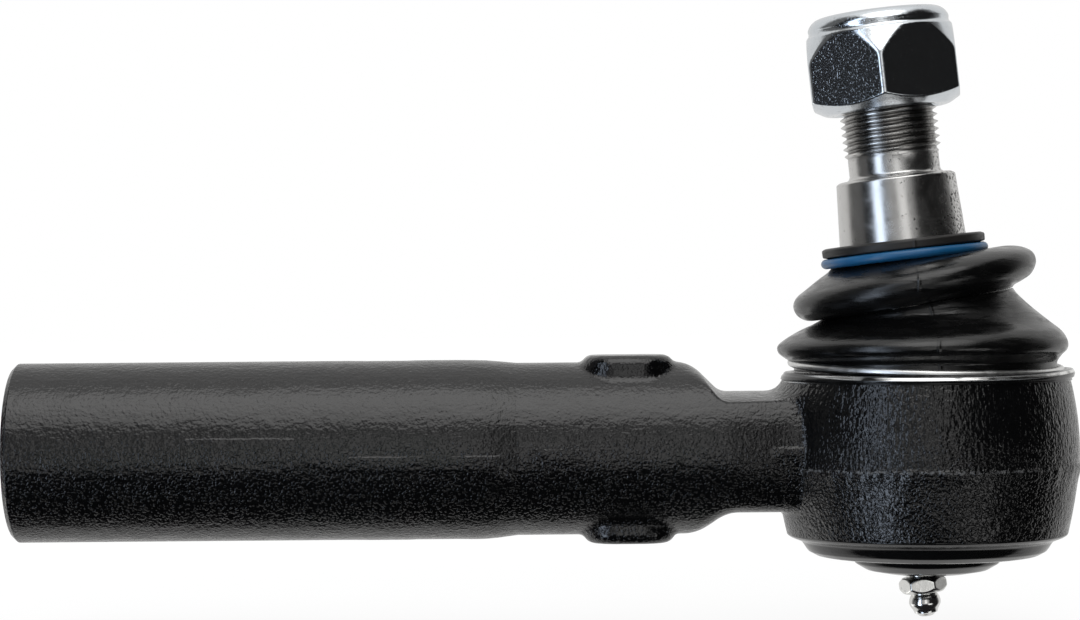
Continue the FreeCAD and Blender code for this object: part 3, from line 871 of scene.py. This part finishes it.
def seam_ridge(radius, angles, seam_angle):
    """Mould seam at an angle and opposite it, 1 along its crest."""
    ridge = 0
    for a in (seam_angle, seam_angle + math.pi):
        off = (angles - a + math.pi) % TURN - math.pi
        ridge = ridge + np.exp(-(off * radius / SEAM_WIDTH) ** 2)
    return ridge


def boot_rings(course, angles, seam, seam_angle):
    """A tilted ring for each step of the course, with the seam standing out."""
    rings = []
    for left_x, left_z, right_x, right_z, depth in course:
        left, right = np.array([left_x, 0, left_z]), np.array([right_x, 0, right_z])
        centre, half = (left + right) / 2, (right - left) / 2
        radius = np.linalg.norm(half)
        swell = (1 + seam * seam_ridge(radius, angles, seam_angle) / radius)[:, None]
        rings.append(centre + swell * (np.cos(angles)[:, None] * half
                                       + np.sin(angles)[:, None] * np.array([0, radius * depth, 0])))
    return np.array(rings)


def boot_fold(name, keys, seam_angle):
    """One fold of the boot, as a closed wall."""
    outer = through(keys)
    inner = inset(outer, BOOT_WALL)[::-1]
    around = columns(200, (seam_angle, seam_angle + math.pi), 0.045, 19)
    wall = [boot_rings(outer, around, FOLD_SEAM, seam_angle), boot_rings(inner, around, 0.0, seam_angle)]
    return skin(name, np.concatenate(wall), 60.0, closed=True)


lower_mesh = boot_fold("boot_lower_fold", LOWER_KEYS, LOWER_SEAM)
lower_fold = show(lower_mesh, black_rubber, None, "boot_rubber", "boot")
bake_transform(lower_fold)
upper_mesh = boot_fold("boot_upper_fold", UPPER_KEYS, UPPER_SEAM)
upper_fold = show(upper_mesh, black_rubber, None, "boot_rubber", "boot")
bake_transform(upper_fold)


def head_seam(radius, angle, height):
    """Raises the mould seam on the outside of the lip."""
    on_lip = (height > 40.4) & (radius > 15)
    return radius + np.where(on_lip, HEAD_SEAM * seam_ridge(radius, angle, LIP_SEAM), 0)


head = rounded([
    (13.35, 36.6), (14.6, 36.5, 0.3), (15.2, 37.6, 0.4), (15.3, 38.2, 0.2), (15.0, 38.45, 0.3),
    (15.1, 40.1, 0.4), (15.9, 40.4, 0.2), (16.65, 40.55, 0.35), (16.7, 42.1, 0.45), (15.9, 42.4, 0.3),
    (14.2, 42.45, 0.3), (13.45, 42.1, 0.3), (13.3, 41.0), (13.35, 36.6)])
head_columns = columns(200, (LIP_SEAM, LIP_SEAM + math.pi), 0.06, 19)
head_mesh = skin("boot_head", on_stud(lathe(head, head_columns, head_seam)))
show(head_mesh, lip_rubber, "boot_head_body", "boot_rubber", "boot")


def hoop(major, wire_radius, height, tilt_x=0.0, tilt_y=0.0, flat=1.0, wave=0.0):
    """Ring of round wire, out of level by tilt_x and tilt_y millimetres at its radius."""
    angles = columns(200)
    lift = tilt_x * np.cos(angles) + tilt_y * np.sin(angles) + wave * np.sin(3 * angles + 0.7)
    rings = []
    for s in np.linspace(0, TURN, 15):
        radius = major + wire_radius * math.cos(s)
        z = height + flat * wire_radius * math.sin(s) + lift
        rings.append(np.stack([radius * np.cos(angles), radius * np.sin(angles), z], -1))
    return np.array(rings)


foot_ring = skin("boot_foot_ring", hoop(27.45, 0.8, 16.4, -0.75, 1.15))
show(foot_ring, wire, "housing_body", "ring_wire", "boot_lower_ring")
head_ring = skin("boot_head_ring", on_stud(hoop(16.05, 1.12, 39.3, flat=0.92, wave=0.06)))
show(head_ring, ring_plastic(), "boot_head_body", "ring_blue", "boot_upper_ring")

# Grease nipple, leaning a little, hexagon against the cover.
NIPPLE_LEAN = math.radians(6.0)
NIPPLE_SEAT = np.array([-1.1, 0.0, -26.35])
NIPPLE_FLAT, NIPPLE_CORNER = 4.3, 4.75
NIPPLE_COLLAR, NIPPLE_NECK = 3.2, 2.35
NIPPLE_BORE, NIPPLE_BORE_FROM = 0.85, 6.0
HEAD_MIDDLE, HEAD_RADIUS = 5.95, 3.25


def on_nipple(points, turning=False):
    """From heights above the nipple's seat to its place under the cover."""
    x, y, z = points[..., 0], points[..., 1], points[..., 2]
    across, along = math.cos(math.pi - NIPPLE_LEAN), math.sin(math.pi - NIPPLE_LEAN)
    turned = np.stack([x * across + z * along, y, -x * along + z * across], -1)
    return turned if turning else turned + NIPPLE_SEAT


def nipple_field(x, y, z):
    """Signed distance, near enough, to the nipple about its own axis, from its seat out."""
    out = np.sqrt(x * x + y * y)
    body = hexagon_at(x, y, NIPPLE_FLAT, math.radians(-22), 0.25)
    body = smooth_max(body, (out - NIPPLE_CORNER) * 0.75 + (z - 3.1) * 0.66, 0.2)
    body = smooth_max(body, (out - NIPPLE_CORNER) * 0.75 - (z - 1.35) * 0.66, 0.2)
    body = smooth_max(body, np.maximum(0.55 - z, z - 3.9), 0.25)
    collar = np.maximum(out - NIPPLE_COLLAR, np.maximum(-0.9 - z, z - 1.5))
    neck = np.maximum(out - NIPPLE_NECK, np.maximum(0.5 - z, z - 8.0))
    head = np.sqrt(out * out + (z - HEAD_MIDDLE) ** 2 * 1.15) - HEAD_RADIUS
    tip = (out - 1.75) * 0.8 + (z - 8.45) * 0.6
    head = smooth_max(smooth_max(head, z - 8.85, 0.3), tip, 0.4)
    whole = smooth_min(smooth_min(smooth_min(body, collar, 0.3), neck, 0.35), head, 0.4)
    mouth = np.sqrt(out * out + (z - 9.2) ** 2) - 0.95
    whole = smooth_max(whole, -mouth, 0.15)
    return smooth_max(whole, -np.maximum(out - NIPPLE_BORE, NIPPLE_BORE_FROM - z), 0.12)


NIPPLE_BOX = (-5.4, -5.4, -1.3), (5.4, 5.4, 9.3)
nipple = carved("grease_nipple_body", nipple_field, *NIPPLE_BOX, NIPPLE_CELL, on_nipple)
show(nipple, nipple_zinc, "housing_body", "nipple_zinc", "grease_nipple")

# CAD nodes that stay as they are, with their materials.
SEATS = plastic("seat_plastic", (0.78, 0.76, 0.68), 0.35)
FINISHES = {
    "upper_seat": SEATS,
    "lower_seat": SEATS,
    "nut_nylon_ring": plastic("nylon", (0.72, 0.74, 0.72), 0.4),
    "cover_seal": rubber("seal_rubber", (0.015, 0.015, 0.015), 0.4, 0.6),
    "preload_spring": plain_steel("disc_spring_steel", (0.16, 0.16, 0.17), 0.4, 0.01),
    "nipple_spring": plain_steel("nipple_spring_steel", (0.5, 0.5, 0.5), 0.25, 0.002),
    "nipple_check_ball": plain_steel("check_ball_steel", (0.7, 0.7, 0.7), 0.1, 0.001),
}
for node, finish in FINISHES.items():
    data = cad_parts[node].data
    data.materials.clear()
    data.materials.append(finish)

# ---------------------------------------------------------------- stage, light and camera

FLOOR_HEIGHT = -37.0
FLOOR_MIDDLE = -80.0  # along X, under the middle of the object
FLOOR_RADII = (0, 300, 900, 6000)
FADE_REACH = (60.0, 420.0)  # distances from its middle over which the floor turns to plain white


def make_floor():
    """Wide pale floor whose far part fades to the white of the backdrop."""
    angles = columns(96)
    rings = lathe(np.array([(radius, 0) for radius in FLOOR_RADII]), angles)
    mesh = skin("floor", rings + np.array([FLOOR_MIDDLE, 0, FLOOR_HEIGHT]))
    made = bpy.data.objects.new("floor", mesh)
    bpy.context.collection.objects.link(made)
    finish, tree, main, place = new_material("floor_card")
    tree.nodes.remove(main)
    card = add(tree, "ShaderNodeBsdfDiffuse", Color=(0.82, 0.82, 0.83, 1)).outputs[0]
    glow = add(tree, "ShaderNodeEmission", Color=(1, 1, 1, 1), Strength=1.03).outputs[0]
    away = add(tree, "ShaderNodeVectorMath", place, (-FLOOR_MIDDLE, 0, 0),
               settings={"operation": "ADD"}).outputs[0]
    far = add(tree, "ShaderNodeVectorMath", away, settings={"operation": "LENGTH"}).outputs["Value"]
    share = ramp(tree, far, *FADE_REACH, 0.9, 1.0)
    mixed = add(tree, "ShaderNodeMixShader", share, card, glow).outputs[0]
    link(tree, mixed, tree.nodes["Material Output"].inputs["Surface"])
    mesh.materials.append(finish)
    for ray in ("visible_diffuse", "visible_glossy", "visible_transmission", "visible_shadow"):
        setattr(made, ray, False)


make_floor()


ROOM_GLOW = 0.012
ROOM_TINT, SIDE_TINT = (1, 0.995, 0.985, 1), (0.8, 0.92, 1.1, 1)


def make_world():
    """Soft windows round the object, in degrees of azimuth (0 to the front, + to its right) and height."""
    world = bpy.data.worlds.new("studio")
    bpy.context.scene.world = world
    world.use_nodes = True
    tree = world.node_tree
    tree.nodes.clear()
    direction = add(tree, "ShaderNodeTexCoord").outputs["Generated"]
    x, y, z = parts_of(tree, direction)
    azimuth = times(tree, maths(tree, "ARCTAN2", x, times(tree, y, -1.0)), 180 / math.pi)
    height = times(tree, maths(tree, "ARCSINE", z), 180 / math.pi)
    far_round = maths(tree, "ABSOLUTE", azimuth)

    def window(value, low, high, soft):
        """1 between low and high, with soft edges. None leaves that side open."""
        edges = []
        if low is not None:
            edges.append(ramp(tree, value, low - soft, low + soft))
        if high is not None:
            edges.append(ramp(tree, value, high - soft, high + soft, 1.0, 0.0))
        return times(tree, *edges)

    def toward(azimuth_deg, height_deg, full, none):
        """1 within full degrees of a direction, 0 beyond none."""
        a, e = math.radians(azimuth_deg), math.radians(height_deg)
        aim = (math.sin(a) * math.cos(e), -math.cos(a) * math.cos(e), math.sin(e))
        outer, inner = math.cos(math.radians(none)), math.cos(math.radians(full))
        return ramp(tree, dot(tree, direction, aim), outer, inner)

    def lit(*windows):
        """Sum of windows, each a strength and the shapes whose product it is."""
        total = None
        for strength, *shapes in windows:
            part = times(tree, *shapes, strength)
            total = maths(tree, "ADD", total, part) if total else part
        return total

    neutral = lit(
        (1.75, toward(0, 62, 12, 34)),
        (0.95, window(height, 60, None, 8)),
        (0.6, window(far_round, None, 30, 8), window(height, 34, 62, 6)),
        (0.37, window(azimuth, -30, 22, 6), window(height, -20, 40, 1.5)),
        (0.75, window(azimuth, -8, 8, 3), window(height, -19, 24, 1.5)),
        (0.12, window(azimuth, -112, -78, 6), window(height, -12, 60, 4)),
        (0.8, window(azimuth, -132, -92, 8), window(height, -34, -15, 3)),
        (1.4, window(azimuth, 20, 50, 6), window(height, -34, -18, 3)),
        (0.12, window(azimuth, 98, 118, 5), window(height, -8, 60, 4)),
        (0.75, window(far_round, 114, None, 8), window(height, -70, 60, 8)),
    )
    cool = lit(
        (2.3, window(azimuth, -55, -38, 3), window(height, -36, 44, 5)),
        (1.6, window(azimuth, -60, -34, 4), window(height, -40, -16, 4)),
    )
    room = add(tree, "ShaderNodeBackground", Color=ROOM_TINT, Strength=maths(tree, "ADD", neutral, ROOM_GLOW))
    side_light = add(tree, "ShaderNodeBackground", Color=SIDE_TINT, Strength=cool)
    studio = add(tree, "ShaderNodeAddShader", room.outputs[0], side_light.outputs[0]).outputs[0]
    paper = add(tree, "ShaderNodeBackground", Color=(1, 1, 1, 1), Strength=1.0).outputs[0]
    seen = add(tree, "ShaderNodeLightPath").outputs["Is Camera Ray"]
    both = add(tree, "ShaderNodeMixShader", seen, studio, paper).outputs[0]
    link(tree, both, add(tree, "ShaderNodeOutputWorld").inputs["Surface"])


make_world()


CAMERA_PLACE = (-79.15, -587.4, 28.5)
CAMERA_LENS, CAMERA_SENSOR = 95.17, 36.0
CAMERA_ROLL = math.radians(0.5)


def make_camera():
    """Camera straight at the object's side, turned a little about its own axis."""
    data = bpy.data.cameras.new("camera")
    data.sensor_width = CAMERA_SENSOR
    data.lens = CAMERA_LENS
    data.clip_end = 100.0
    made = bpy.data.objects.new("camera", data)
    bpy.context.collection.objects.link(made)
    right = Vector((math.cos(CAMERA_ROLL), 0, -math.sin(CAMERA_ROLL)))
    above = Vector((math.sin(CAMERA_ROLL), 0, math.cos(CAMERA_ROLL)))
    toward_viewer = right.cross(above)
    turn = Matrix((right, above, toward_viewer)).transposed().to_4x4()
    made.matrix_world = Matrix.Translation(Vector(CAMERA_PLACE) * MM) @ turn
    bpy.context.scene.camera = made


make_camera()

bpy.context.view_layer.update()
